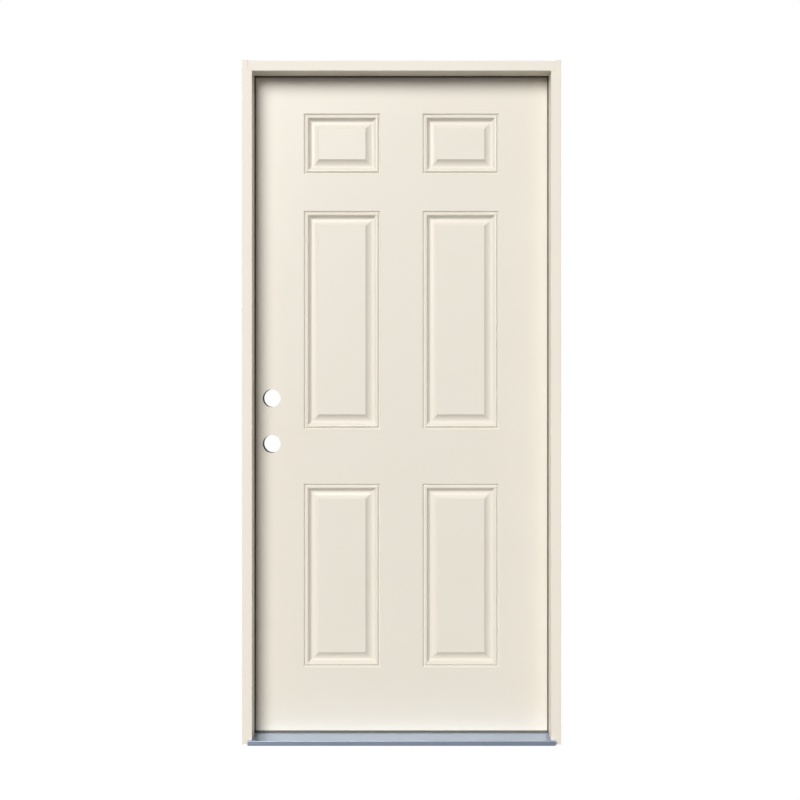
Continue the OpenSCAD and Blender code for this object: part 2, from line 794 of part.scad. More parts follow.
at_hinge(bottom_hinge_z) hinge_pin();  // bottom_hinge_pin
at_hinge(bottom_hinge_z) hinge_screws(1);  // bottom_hinge_frame_screws
at_hinge(bottom_hinge_z) hinge_leaf(-1);  // bottom_hinge_door_leaf
at_hinge(bottom_hinge_z) hinge_screws(-1);  // bottom_hinge_door_screws
hinge_stile();
lock_stile();
top_rail();
bottom_rail();
lock_block();
foam_core();
exterior_skin();
interior_skin();
door_sweep();
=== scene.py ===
"""A pre-hung, inswing, six-panel steel entry door in its primed pine frame, bored for a lock.

Shapes are drawn in millimetres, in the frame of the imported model: X across the door with the
hinges on the right, Y from outdoors to indoors, Z up. piece() turns them into metres.
"""

import math

import bmesh
import bpy
from mathutils import Matrix, Vector


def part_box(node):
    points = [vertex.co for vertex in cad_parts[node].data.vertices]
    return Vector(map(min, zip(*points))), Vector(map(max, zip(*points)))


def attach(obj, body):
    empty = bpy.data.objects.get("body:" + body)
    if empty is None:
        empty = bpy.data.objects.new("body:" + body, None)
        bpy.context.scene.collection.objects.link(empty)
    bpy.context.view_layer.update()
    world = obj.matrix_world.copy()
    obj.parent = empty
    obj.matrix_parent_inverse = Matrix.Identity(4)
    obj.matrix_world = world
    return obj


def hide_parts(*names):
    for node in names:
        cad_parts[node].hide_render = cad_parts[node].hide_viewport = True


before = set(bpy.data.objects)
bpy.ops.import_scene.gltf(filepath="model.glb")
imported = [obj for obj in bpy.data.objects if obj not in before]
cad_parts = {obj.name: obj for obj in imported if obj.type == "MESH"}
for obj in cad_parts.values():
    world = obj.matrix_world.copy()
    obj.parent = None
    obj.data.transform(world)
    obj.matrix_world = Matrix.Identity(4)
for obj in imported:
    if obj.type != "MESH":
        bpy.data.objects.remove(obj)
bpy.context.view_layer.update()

MM = 0.001

# ---------------------------------------------------------------- sizes, in millimetres


def corners(node):
    """The lowest and the highest corner of a CAD node."""
    low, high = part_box(node)
    return low / MM, high / MM


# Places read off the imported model
leaf_low, outdoor_fold = corners("exterior_skin")
leaf_high = corners("interior_skin")[1]
leg_low, leg_high = corners("hinge_jamb")
head_low, head_high = corners("head_jamb")
deck_low, deck_high = corners("sill_deck")
cap_high = corners("threshold_cap")[1]
seal_low, seal_high = corners("hinge_side_seal")
bar_high = corners("head_seal")[1]
block_low, block_high = corners("lock_block")

LEAF_EDGE = leaf_high.x
LEAF_FRONT = leaf_low.y
LEAF_BACK = leaf_high.y
LEAF_FOOT = leaf_low.z
LEAF_TOP = leaf_high.z
LEAF_MID = (LEAF_FRONT + LEAF_BACK) / 2
RABBET_X = head_high.x
STOP_X = leg_low.x
OUTER_X = leg_high.x
STOP_Z = head_low.z
HEAD_TOP = head_high.z
FRAME_FRONT = leg_low.y
FRAME_BACK = leg_high.y
RABBET_Z = STOP_Z + RABBET_X - STOP_X
JAMB_T = OUTER_X - RABBET_X
STOP_W = RABBET_X - STOP_X

# Steel skins
SHEET_T = 0.6
FOLD = outdoor_fold.y - LEAF_FRONT
FOLD_R = 1.4
SKIN_CREASE = 28

# Panels: flat faces between them, and the heights of their rows, from the top down
SIDE_FACE = 158.5
MIDDLE_FACE = 128.4
ROW_HEIGHTS = {"top_face": 121.5, "top_panel": 185.5, "upper_face": 111.9, "middle_panel": 668.0,
               "lock_face": 166.3, "bottom_panel": 560.8}

# Panel moulding: a V groove, a bead, a slope down to the valley, a bevel up to the raised field
QUIRK_W = 9.0
QUIRK_D = 4.8
BEAD_W = 4.5
BEAD_D = 0.8
SLOPE_W = 11.5
VALLEY_D = 11.0
BEVEL_W = 21.0
FIELD_D = 1.2

# Bores for the lock and the deadbolt
BACKSET = 60.3
BORE_R = 27.0
BORE_UP = 875.0
BORE_APART = 139.7
BORE_Z = [LEAF_FOOT + BORE_UP, LEAF_FOOT + BORE_UP + BORE_APART]
LATCH_R = 12.7
FACE_PLATE = (25.4, 57.2, 6.4)
FACE_PLATE_D = 3.0
STRIKE_D = 2.0

# Frame
SEAL_T = 6.0
STOP_Y = seal_high.y - SEAL_T
KERF_INSET = 1.2
KERF_W = 3.0
KERF_D = 9.0
EASED = 0.9

# Weatherstrip
SEAL_NOSE = RABBET_X - seal_low.x
BULB_CORNER = 1.0
BARB_D = 8.0
BARB_TIP = 2.0
BARB_FIT = 0.1
BARB_GAP = 0.3

# Sill
BASE_H = 12.5
DECK_T = 2.0
NOSE_H = 14.5
NOSE_R = 1.2
FLANGE_H = 6.0

# Hinges
HINGE_T = 2.3
HINGE_R = 15.9
HINGE_REACH = 38.0
HINGE_H = 101.6
AXIS_OUT = 7.0
LEAF_GAP = RABBET_X - LEAF_EDGE
HINGE_NAMES = ["top", "middle", "bottom"]
HINGE_HOLES = [(0.32, 0.79), (0.7, 0.27), (0.7, -0.27), (0.32, -0.79)]
POCKET_FIT = 0.2
PLATE_END = 6.403  # from the axis, so that the plate stops just clear of the barrel
PLATE_SOFT = 0.25
WEB_LAP = 0.1
KNUCKLES = 5
KNUCKLE_GAP = 0.2
KNUCKLE_SOFT = 0.3
BARREL_R = 6.0
PIN_R = 3.5
PIN_FIT = 0.05
PIN_HEAD_H = 3.2
PIN_HEAD_SOFT = 0.2
PIN_TIP = 2.0
PIN_TIP_SOFT = 0.3

# Screws
SCREW_R = 2.1
SCREW_HEAD_R = 4.2
SCREW_HEAD_H = 2.0
SCREW_FIT = 0.05
HEAD_SINK = 1.0
SCREW_EDGE = 14.0
LEAF_SCREW_L = 24.0
JAMB_SCREW_L = 16.0
CORNER_SCREW_L = 60.0
CAP_SCREW_L = 13.0
HEAD_RIM = 0.3
HEAD_SOFT = 0.15
RECESS_REACH = 2.3
RECESS_HALF = 0.55
RECESS_D = 1.5

# Screws through the legs, and along the threshold cap
JOINT_Z = {"head": (RABBET_Z + HEAD_TOP) / 2, "sill": BASE_H / 2}
JOINT_Y = {"head": [FRAME_FRONT + SCREW_EDGE, 0, FRAME_BACK - SCREW_EDGE],
           "sill": [FRAME_FRONT + SCREW_EDGE, (deck_high.y + FRAME_BACK) / 2]}
CAP_SHARES = (-0.75, -0.25, 0.25, 0.75)

# ---------------------------------------------------------------- shapes


def steps(count):
    """Even steps from just above 0 up to 1."""
    return [(i + 1) / count for i in range(count)]


def extruded(outline, along):
    """A closed bar: a flat outline, given as points, pushed along a vector."""
    bm = bmesh.new()
    end = bm.faces.new([bm.verts.new(point) for point in outline])
    pushed = bmesh.ops.extrude_face_region(bm, geom=[end])["geom"]
    moved = [part for part in pushed if isinstance(part, bmesh.types.BMVert)]
    bmesh.ops.translate(bm, verts=moved, vec=along)
    bmesh.ops.recalc_face_normals(bm, faces=bm.faces)
    return bm


def block(low, high):
    """A rectangular block between two corners."""
    outline = [(low[0], low[1], low[2]), (high[0], low[1], low[2]),
               (high[0], high[1], low[2]), (low[0], high[1], low[2])]
    return extruded(outline, (0, 0, high[2] - low[2]))


def turned(profile, segments=48):
    """A solid of revolution about Z: a profile of (radius, height), its ends on the axis."""
    bm = bmesh.new()
    points = [bm.verts.new((r, 0, z)) for r, z in profile]
    edges = [bm.edges.new(pair) for pair in zip(points, points[1:])]
    bmesh.ops.spin(bm, geom=points + edges, axis=(0, 0, 1), cent=(0, 0, 0), steps=segments,
                   angle=2 * math.pi, use_merge=True)
    bmesh.ops.remove_doubles(bm, verts=bm.verts, dist=1e-4)
    bmesh.ops.recalc_face_normals(bm, faces=bm.faces)
    return bm


def put(bm, other, place=Matrix.Identity(4)):
    """Adds a copy of another bmesh, moved by a matrix."""
    mesh = bpy.data.meshes.new("copy")
    other.to_mesh(mesh)
    mesh.transform(place)
    bm.from_mesh(mesh)
    bpy.data.meshes.remove(mesh)


def mirrored(bm):
    """The same solid on the other side of the door."""
    bmesh.ops.scale(bm, vec=(-1, 1, 1), verts=bm.verts)
    bmesh.ops.recalc_face_normals(bm, faces=bm.faces)
    return bm


def temporary(bm):
    """An object of a bmesh that lasts only as long as a cut."""
    mesh = bpy.data.meshes.new("temporary")
    bm.to_mesh(mesh)
    mesh.materials.append(None)
    mesh.materials.append(None)
    item = bpy.data.objects.new("temporary", mesh)
    bpy.context.scene.collection.objects.link(item)
    return item


def cut(bm, cutters):
    """What is left of a solid when the cutters are taken out. Cut faces get the second material."""
    for face in cutters.faces:
        face.material_index = 1
    whole, tool = temporary(bm), temporary(cutters)
    step = whole.modifiers.new("cut", "BOOLEAN")
    step.operation = "DIFFERENCE"
    step.solver = "EXACT"
    step.object = tool
    left = bmesh.new()
    left.from_object(whole, bpy.context.evaluated_depsgraph_get())
    for item in (whole, tool):
        mesh = item.data
        bpy.data.objects.remove(item)
        bpy.data.meshes.remove(mesh)
    bm.free()
    cutters.free()
    return left


def ease(bm, width, chosen, segments=3):
    """Rounds the chosen ones of a solid's outer corners that turn by over 40 degrees."""
    edges = [edge for edge in bm.edges
             if edge.calc_face_angle_signed(0) > math.radians(40) and chosen(edge)]
    bmesh.ops.bevel(bm, geom=edges, offset=width, offset_type="OFFSET", segments=segments,
                    profile=0.5, affect="EDGES", material=-1, clamp_overlap=True)


def rounded_plate(height, near, far, radius, thickness, near_round=False):
    """A plate in the YZ plane, x from 0 to its thickness, with round corners at its far end."""
    outline = []
    y = far - math.copysign(radius, far - near)
    turn = 1 if far < near else -1
    for z, start in ((radius - height / 2, 270), (height / 2 - radius, 180)):
        for t in [0.0] + steps(12):
            angle = math.radians(start - 90 * t)
            outline.append((0, y + turn * radius * math.cos(angle), z + radius * math.sin(angle)))
    if near_round:
        outline += [(0, near + far - y, -z) for _, y, z in outline]
    else:
        outline += [(0, near, height / 2), (0, near, -height / 2)]
    return extruded(outline, (thickness, 0, 0))


def crosswise(radius, low, high, centre, axis, segments=96):
    """A round rod through a centre, along X or Y, between two places on that axis."""
    bm = bmesh.new()
    turn = Matrix.Rotation(math.radians(90), 4, "Y" if axis == "X" else "X")
    middle = Vector(centre)
    middle["XY".index(axis)] = (low + high) / 2
    bmesh.ops.create_cone(bm, cap_ends=True, segments=segments, radius1=radius, radius2=radius,
                          depth=high - low, matrix=Matrix.Translation(middle) @ turn)
    return bm


def piece(name, bm, body, nodes, materials, crease=35, sharp=None):
    """Makes an object of a finished bmesh, in metres, in the place of CAD nodes."""
    bmesh.ops.scale(bm, vec=(MM, MM, MM), verts=bm.verts)
    for face in bm.faces:
        face.smooth = True
    for edge in bm.edges:
        smooth = len(edge.link_faces) == 2 and edge.calc_face_angle(0) < math.radians(crease)
        edge.smooth = smooth and not (sharp and sharp(edge))
    mesh = bpy.data.meshes.new(name)
    bm.to_mesh(mesh)
    bm.free()
    for material in materials:
        mesh.materials.append(material)
    made = bpy.data.objects.new(name, mesh)
    bpy.context.scene.collection.objects.link(made)
    weighted = made.modifiers.new("even_shading", "WEIGHTED_NORMAL")
    weighted.keep_sharp = True
    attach(made, body)
    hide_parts(*nodes)
    return made


# ---------------------------------------------------------------- materials


def linear(hex_colour):
    """An sRGB hex colour such as 0xE2D9C9 as a linear RGBA."""
    parts = [(hex_colour >> shift & 255) / 255 for shift in (16, 8, 0)]
    return [c / 12.92 if c <= 0.04045 else ((c + 0.055) / 1.055) ** 2.4 for c in parts] + [1.0]


# Some sockets share a name, so they go by number. A Math node's values are 0 and 1. The results of
# a Map Range node for 0 and for 1 are 3 and 4. A colour Mix node's two colours are 6 and 7, and its
# result is 2. A Mix Shader's factor is 0, and its shaders are 1 and 2.


def add(tree, kind, inputs=None, **settings):
    """Adds a node, with its settings and with its inputs set or linked."""
    node = tree.nodes.new(kind)
    for name, value in settings.items():
        setattr(node, name, value)
    for name, value in (inputs or {}).items():
        if isinstance(value, bpy.types.NodeSocket):
            tree.links.new(value, node.inputs[name])
        else:
            node.inputs[name].default_value = value
    return node


def start_material(name):
    """A new material, its node tree and the object's coordinates in metres."""
    material = bpy.data.materials.new(name)
    material.use_nodes = True
    tree = material.node_tree
    tree.nodes.clear()
    where = add(tree, "ShaderNodeTexCoord").outputs["Object"]
    return material, tree, where


def surface(tree, **inputs):
    """The shader at the end of a material, with its inputs named with spaces as underscores."""
    named = {key.replace("_", " "): value for key, value in inputs.items()}
    shader = add(tree, "ShaderNodeBsdfPrincipled", named)
    add(tree, "ShaderNodeOutputMaterial", {"Surface": shader.outputs["BSDF"]})


def blend(tree, factor, first, second):
    """A colour between two hex colours."""
    ends = {"Factor": factor, 6: linear(first), 7: linear(second)}
    return add(tree, "ShaderNodeMix", ends, data_type="RGBA").outputs[2]


def primer_on_steel():
    """Cream primer baked on galvanised sheet: smooth and half matt, with a faint orange peel."""
    material, tree, where = start_material("primer_on_steel_sheet")
    broad = add(tree, "ShaderNodeTexNoise", {"Vector": where, "Scale": 1 / 0.22, "Detail": 2.0})
    peel = add(tree, "ShaderNodeTexNoise", {"Vector": where, "Scale": 1 / 0.003, "Detail": 1.0})
    rough = add(tree, "ShaderNodeMapRange", {"Value": broad.outputs["Fac"], 3: 0.32, 4: 0.40})
    bump = add(tree, "ShaderNodeBump", {"Height": peel.outputs["Fac"], "Distance": 0.00002})
    surface(tree, Base_Color=blend(tree, broad.outputs["Fac"], 0xE5DFD3, 0xE1DACD),
            Roughness=rough.outputs["Result"], Normal=bump.outputs["Normal"], IOR=1.5)
    return material


def stretched(tree, where, along, length, width):
    """Coordinates for a pattern that is long one way and narrow the other two."""
    scale = [1 / width] * 3
    scale["XYZ".index(along)] = 1 / length
    return add(tree, "ShaderNodeMapping", {"Vector": where, "Scale": scale}).outputs["Vector"]


def primer_on_pine(along):
    """Cream primer brushed on planed pine: the grain shows faintly as a ripple, not as a colour."""
    material, tree, where = start_material("primer_on_pine_along_" + along)
    grain = stretched(tree, where, along, 0.12, 0.0016)
    broad = add(tree, "ShaderNodeTexNoise", {"Vector": where, "Scale": 1 / 0.18, "Detail": 2.0})
    fibre = add(tree, "ShaderNodeTexNoise", {"Vector": grain, "Scale": 1.0, "Detail": 3.0})
    rough = add(tree, "ShaderNodeMapRange", {"Value": fibre.outputs["Fac"], 3: 0.46, 4: 0.56})
    bump = add(tree, "ShaderNodeBump", {"Height": fibre.outputs["Fac"], "Distance": 0.00006})
    surface(tree, Base_Color=blend(tree, broad.outputs["Fac"], 0xE9E2D5, 0xE5DDD0),
            Roughness=rough.outputs["Result"], Normal=bump.outputs["Normal"], IOR=1.5)
    return material


def bare_pine(along):
    """Planed pine, unpainted: pale earlywood with darker latewood lines about 4 mm apart."""
    material, tree, where = start_material("bare_pine_along_" + along)
    grain = stretched(tree, where, along, 0.30, 0.012)
    fine = stretched(tree, where, along, 0.05, 0.0006)
    wander = add(tree, "ShaderNodeTexNoise", {"Vector": grain, "Scale": 1.0, "Detail": 2.0})
    fibre = add(tree, "ShaderNodeTexNoise", {"Vector": fine, "Scale": 1.0, "Detail": 3.0})
    rings = add(tree, "ShaderNodeMath", {0: wander.outputs["Fac"], 1: 9.0}, operation="MULTIPLY")
    line = add(tree, "ShaderNodeMath", {0: rings.outputs["Value"]}, operation="FRACT")
    late = add(tree, "ShaderNodeMath", {0: line.outputs["Value"], 1: 2.5}, operation="POWER")
    wood = blend(tree, late.outputs["Value"], 0xE3C79C, 0xC79A64)
    tint = add(tree, "ShaderNodeMix", {"Factor": fibre.outputs["Fac"], 6: wood,
                                       7: linear(0xD8B482)}, data_type="RGBA")
    rough = add(tree, "ShaderNodeMapRange", {"Value": fibre.outputs["Fac"], 3: 0.62, 4: 0.78})
    bump = add(tree, "ShaderNodeBump", {"Height": fibre.outputs["Fac"], "Distance": 0.0001})
    surface(tree, Base_Color=tint.outputs[2], Roughness=rough.outputs["Result"],
            Normal=bump.outputs["Normal"], IOR=1.5)
    return material


def bore_wall_painted_shade():
    """Painted shade for the walls of the bores: pine coloured a dull grey brown, with darker rings
    along the bore.
    """
    material, tree, where = start_material("bore_wall_painted_shade")
    rings = stretched(tree, where, "Y", 0.0012, 0.03)
    shade_rings = add(tree, "ShaderNodeTexNoise", {"Vector": rings, "Scale": 1.0, "Detail": 3.0})
    bump = add(tree, "ShaderNodeBump", {"Height": shade_rings.outputs["Fac"], "Distance": 0.0002})
    surface(tree, Base_Color=blend(tree, shade_rings.outputs["Fac"], 0x5A5048, 0x85786A),
            Roughness=0.8, Normal=bump.outputs["Normal"], IOR=1.5)
    return material


def rigid_foam():
    """Poured polyurethane foam: pale yellow, dull, with cells under a millimetre."""
    material, tree, where = start_material("polyurethane_foam")
    cells = add(tree, "ShaderNodeTexVoronoi", {"Vector": where, "Scale": 1 / 0.0008})
    bump = add(tree, "ShaderNodeBump", {"Height": cells.outputs["Distance"], "Distance": 0.0003})
    surface(tree, Base_Color=blend(tree, cells.outputs["Distance"], 0xE7DDAE, 0xF1EAC6),
            Roughness=0.9, Normal=bump.outputs["Normal"], IOR=1.5)
    return material


def mill_aluminium():
    """Extruded aluminium as it leaves the mill: a cool grey sheen with lines along the die."""
    material, tree, where = start_material("mill_aluminium")
    lines = stretched(tree, where, "X", 0.4, 0.0012)
    draw = add(tree, "ShaderNodeTexNoise", {"Vector": lines, "Scale": 1.0, "Detail": 3.0})
    broad = add(tree, "ShaderNodeTexNoise", {"Vector": where, "Scale": 1 / 0.15, "Detail": 1.0})
    rough = add(tree, "ShaderNodeMapRange", {"Value": draw.outputs["Fac"], 3: 0.34, 4: 0.42})
    bump = add(tree, "ShaderNodeBump", {"Height": draw.outputs["Fac"], "Distance": 0.00001})
    surface(tree, Base_Color=blend(tree, broad.outputs["Fac"], 0xB4C3D8, 0xBCCADE),
            Metallic=1.0, Roughness=rough.outputs["Result"], Normal=bump.outputs["Normal"])
    return material


def sill_composite():
    """Wood and plastic composite: dark brown grey with short pale flecks of fibre."""
    material, tree, where = start_material("wood_plastic_composite")
    flecks = stretched(tree, where, "X", 0.006, 0.001)
    speck = add(tree, "ShaderNodeTexNoise", {"Vector": flecks, "Scale": 1.0, "Detail": 3.0})
    bump = add(tree, "ShaderNodeBump", {"Height": speck.outputs["Fac"], "Distance": 0.0001})
    surface(tree, Base_Color=blend(tree, speck.outputs["Fac"], 0x4A443D, 0x6E665B),
            Roughness=0.7, Normal=bump.outputs["Normal"], IOR=1.5)
    return material


def extruded_vinyl(name, dark, light, rough):
    """Extruded vinyl: an even, slightly waxy plastic with faint lines along the die."""
    material, tree, where = start_material(name)
    lines = stretched(tree, where, "X", 0.3, 0.0015)
    draw = add(tree, "ShaderNodeTexNoise", {"Vector": lines, "Scale": 1.0, "Detail": 2.0})
    finish = add(tree, "ShaderNodeMapRange", {"Value": draw.outputs["Fac"], 3: rough - 0.06,
                                              4: rough + 0.06})
    bump = add(tree, "ShaderNodeBump", {"Height": draw.outputs["Fac"], "Distance": 0.00003})
    surface(tree, Base_Color=blend(tree, draw.outputs["Fac"], dark, light),
            Roughness=finish.outputs["Result"], Normal=bump.outputs["Normal"], IOR=1.53)
    return material


def weatherstrip_skin():
    """Vinyl-skinned foam: a soft dark brown skin with fine wrinkles over the foam."""
    material, tree, where = start_material("vinyl_skinned_foam")
    wrinkle = add(tree, "ShaderNodeTexNoise", {"Vector": where, "Scale": 1 / 0.002, "Detail": 3.0})
    bump = add(tree, "ShaderNodeBump", {"Height": wrinkle.outputs["Fac"], "Distance": 0.00015})
    surface(tree, Base_Color=blend(tree, wrinkle.outputs["Fac"], 0x3E352C, 0x4C4238),
            Roughness=0.62, Normal=bump.outputs["Normal"], IOR=1.5)
    return material


def plated_metal(name, dark, light, rough, grit):
    """Plated steel: a metal sheen broken up by the fine grit that it was finished with."""
    material, tree, where = start_material(name)
    fine = add(tree, "ShaderNodeTexNoise", {"Vector": where, "Scale": 1 / grit, "Detail": 2.0})
    finish = add(tree, "ShaderNodeMapRange", {"Value": fine.outputs["Fac"], 3: rough - 0.06,
                                              4: rough + 0.06})
    bump = add(tree, "ShaderNodeBump", {"Height": fine.outputs["Fac"], "Distance": 0.00001})
    surface(tree, Base_Color=blend(tree, fine.outputs["Fac"], dark, light), Metallic=1.0,
            Roughness=finish.outputs["Result"], Normal=bump.outputs["Normal"])
    return material


STEEL_PRIMER = primer_on_steel()
PINE_PRIMER = {along: primer_on_pine(along) for along in "XZ"}
PINE = {along: bare_pine(along) for along in "XZ"}
# The walls of the bores get painted shade: a dull grey brown that stands in for the shade inside
# them.
BORE_PAINTED_SHADE = bore_wall_painted_shade()
FOAM = rigid_foam()
ALUMINIUM = mill_aluminium()
COMPOSITE = sill_composite()
CAP_VINYL = extruded_vinyl("cap_vinyl", 0x8E8576, 0x989080, 0.5)
SWEEP_VINYL = extruded_vinyl("sweep_vinyl", 0x61584D, 0x6B6156, 0.55)
WEATHERSTRIP = weatherstrip_skin()
NICKEL = plated_metal("satin_nickel", 0xCDC6BA, 0xD8D1C6, 0.36, 0.0004)
ZINC = plated_metal("zinc_plate", 0xC2B083, 0xD0C8AE, 0.38, 0.0006)

# ---------------------------------------------------------------- shared cutters


def at_hinge(name):
    """Where a hinge's axis crosses its middle height."""
    low, high = corners(name + "_hinge_pin")
    plate_low, plate_high = corners(name + "_hinge_frame_leaf")
    return Vector(((low.x + high.x) / 2, (low.y + high.y) / 2, (plate_low.z + plate_high.z) / 2))


def hinge_pockets(side):
    """The mortises of the hinge plates, in the jamb (1) or in the edge of the leaf (-1)."""
    cutters = bmesh.new()
    far = -AXIS_OUT - HINGE_REACH - POCKET_FIT
    pocket = rounded_plate(HINGE_H + 2 * POCKET_FIT, AXIS_OUT, far, HINGE_R + POCKET_FIT, HINGE_T)
    for name in HINGE_NAMES:
        axis = at_hinge(name)
        face = axis.x + side * LEAF_GAP / 2
        place = Matrix.Translation((face, axis.y, axis.z))
        if side < 0:
            place = place @ Matrix.Diagonal((-1, 1, 1, 1))
        put(cutters, pocket, place)
    bmesh.ops.recalc_face_normals(cutters, faces=cutters.faces)
    return cutters


def face_bores():
    """The two bores through the faces of the leaf."""
    cutters = bmesh.new()
    for z in BORE_Z:
        centre = (BACKSET - LEAF_EDGE, 0, z)
        put(cutters, crosswise(BORE_R, LEAF_FRONT - 1, LEAF_BACK + 1, centre, "Y"))
    return cutters


def latch_plate(depth):
    """A face plate's or a strike plate's mortise, standing 1 mm proud on the +X side of x = 0."""
    width, height, radius = FACE_PLATE
    plate = rounded_plate(height, width / 2, -width / 2, radius, depth + 1, near_round=True)
    bmesh.ops.translate(plate, verts=plate.verts, vec=(-depth, 0, 0))
    return plate


# ---------------------------------------------------------------- leaf


def moulding():
    """The panel moulding, from the outline inwards: pairs of inset and depth below the face."""
    slope_at = QUIRK_W + BEAD_W
    bevel_at = slope_at + SLOPE_W
    # The groove, with its foot and its inner lip slightly rounded
    section = [(0.0, 0.0), (0.48 * QUIRK_W, 0.97 * QUIRK_D), (QUIRK_W / 2, QUIRK_D),
               (0.52 * QUIRK_W, 0.97 * QUIRK_D), (0.97 * QUIRK_W, 0.45 * BEAD_D),
               (QUIRK_W, BEAD_D / 4)]
    section += [(QUIRK_W + BEAD_W * t, BEAD_D / 4 + BEAD_D * 0.75 * t * t) for t in steps(6)]
    section += [(slope_at + SLOPE_W * t, BEAD_D + (VALLEY_D - BEAD_D) * math.sin(math.pi / 2 * t))
                for t in steps(14)]
    section += [(bevel_at + BEVEL_W * t, VALLEY_D - (VALLEY_D - FIELD_D) * t * t)
                for t in steps(14)]
    return section


def panel_lines():
    """The places of the panels' outlines, across the leaf and up it."""
    inner, outer = MIDDLE_FACE / 2, LEAF_EDGE - SIDE_FACE
    across = [-outer, -inner, inner, outer]
    up, z = [], LEAF_TOP
    for height in ROW_HEIGHTS.values():
        z -= height
        up.append(z)
    return across, up


def pressed_sheet():
    """One skin on the outdoor side: a sheet with its panels pressed in and its sides folded."""
    bm = bmesh.new()
    ends = [(-LEAF_EDGE, LEAF_FOOT), (LEAF_EDGE, LEAF_FOOT),
            (LEAF_EDGE, LEAF_TOP), (-LEAF_EDGE, LEAF_TOP)]
    bm.faces.new([bm.verts.new((x, LEAF_FRONT, z)) for x, z in ends])
    across, up = panel_lines()
    planes = [((x, 0, 0), (1, 0, 0)) for x in across] + [((0, 0, z), (0, 0, 1)) for z in up]
    for place, normal in planes:
        geometry = bm.verts[:] + bm.edges[:] + bm.faces[:]
        bmesh.ops.bisect_plane(bm, geom=geometry, plane_co=place, plane_no=normal)
    columns = list(zip(across[0::2], across[1::2]))
    rows = list(zip(up[1::2], up[0::2]))
    panels = []
    for face in bm.faces:
        centre = face.calc_center_median()
        in_column = any(low < centre.x < high for low, high in columns)
        if in_column and any(low < centre.z < high for low, high in rows):
            panels.append(face)
    section = moulding()
    for (inset, depth), (next_inset, next_depth) in zip(section, section[1:]):
        bmesh.ops.inset_individual(bm, faces=panels, thickness=next_inset - inset,
                                   depth=depth - next_depth, use_even_offset=True)
    sides = [edge for edge in bm.edges
             if all(abs(vert.co.x) > LEAF_EDGE - 0.01 for vert in edge.verts)]
    folded = bmesh.ops.extrude_edge_only(bm, edges=sides)["geom"]
    moved = [part for part in folded if isinstance(part, bmesh.types.BMVert)]
    bmesh.ops.translate(bm, verts=moved, vec=(0, FOLD, 0))
    bmesh.ops.recalc_face_normals(bm, faces=bm.faces)
    bmesh.ops.bevel(bm, geom=sides, offset=FOLD_R, offset_type="OFFSET", segments=4, profile=0.5,
                    affect="EDGES", material=-1)
    return bm


def is_mitre(edge):
    """An edge that runs diagonally across the leaf, where two mouldings meet."""
    run = edge.verts[1].co - edge.verts[0].co
    return abs(run.x) > 1e-5 and abs(run.z) > 1e-5


def leaf_skins():
    """Both skins, bored for the lock and cut for the hinges."""
    for name, node, outdoors in (("outdoor_skin", "exterior_skin", True),
                                 ("indoor_skin", "interior_skin", False)):
        sheet = pressed_sheet()
        if not outdoors:
            bmesh.ops.scale(sheet, vec=(1, -1, 1), verts=sheet.verts)
            bmesh.ops.translate(sheet, verts=sheet.verts, vec=(0, LEAF_FRONT + LEAF_BACK, 0))
        widest = max(sheet.faces, key=lambda face: face.calc_area())
        if (widest.normal.y < 0) != outdoors:
            bmesh.ops.reverse_faces(sheet, faces=sheet.faces)
        bmesh.ops.solidify(sheet, geom=sheet.faces[:], thickness=SHEET_T)
        sheet = cut(sheet, face_bores())
        sheet = cut(sheet, hinge_pockets(-1))
        piece(name, sheet, "door", [node], [STEEL_PRIMER, STEEL_PRIMER],
              crease=SKIN_CREASE, sharp=is_mitre)


def leaf_timber():
    """Stiles and the lock block: planed pine, cut for the lock and the hinges."""
    edge_bores, plates = bmesh.new(), bmesh.new()
    for z in BORE_Z:
        centre = (0, LEAF_MID, z)
        put(edge_bores, crosswise(LATCH_R, -LEAF_EDGE - 1, BACKSET - LEAF_EDGE, centre, "X"))
        place = Matrix.Translation((-LEAF_EDGE, LEAF_MID, z)) @ Matrix.Diagonal((-1, 1, 1, 1))
        put(plates, latch_plate(FACE_PLATE_D), place)
    bmesh.ops.recalc_face_normals(plates, faces=plates.faces)
    stile = cut(cut(block(*corners("lock_stile")), edge_bores), plates)
    piece("lock_side_stile", stile, "door", ["lock_stile"], [PINE["Z"], PINE["Z"]])
    stile = cut(block(*corners("hinge_stile")), hinge_pockets(-1))
    piece("hinge_side_stile", stile, "door", ["hinge_stile"], [PINE["Z"], PINE["Z"]])
    solid = cut(block(block_low, block_high), face_bores())
    # The bores' cut faces take painted shade, a dull grey brown, instead of bare pine.
    piece("lock_bore_block", solid, "door", ["lock_block"], [PINE["Z"], BORE_PAINTED_SHADE])


# ---------------------------------------------------------------- frame


def jamb_outline():
    """The section of a jamb: distance outwards from the rabbet, and place through the door."""
    near, far = -KERF_INSET, -KERF_INSET - KERF_W
    return [(-STOP_W, FRAME_FRONT), (JAMB_T, FRAME_FRONT), (JAMB_T, FRAME_BACK), (0, FRAME_BACK),
            (0, STOP_Y), (near, STOP_Y), (near, STOP_Y - KERF_D), (far, STOP_Y - KERF_D),
            (far, STOP_Y), (-STOP_W, STOP_Y)]


def deck_height(y):
    """Height of the sloping deck at a place through the door."""
    return NOSE_H + (deck_high.z - NOSE_H) * (y - deck_low.y) / (deck_high.y - deck_low.y)


def joint_holes(y_places, z, through):
    """Counterbored holes for the joint screws, from the outer face of the right jamb."""
    cutters = bmesh.new()
    wide, narrow = SCREW_HEAD_R + SCREW_FIT, SCREW_R + SCREW_FIT
    hole = turned([(0, HEAD_SINK + 1), (wide, HEAD_SINK + 1), (wide, 0), (narrow, -SCREW_HEAD_H),
                   (narrow, -through), (0, -through)], segments=32)
    for y in y_places:
        put(cutters, hole, facing(OUTER_X - HEAD_SINK, y, z, 1))
    return cutters


def runs_along(edge, axis):
    """True for an edge parallel to an axis and longer than 20 mm."""
    run = edge.verts[1].co - edge.verts[0].co
    return abs(run["XYZ".index(axis)]) > 20 and run.length - abs(run["XYZ".index(axis)]) < 0.01


def at_front(edge):
    """True for an edge on the outdoor face of the frame."""
    return all(abs(vert.co.y - FRAME_FRONT) < 0.01 for vert in edge.verts)


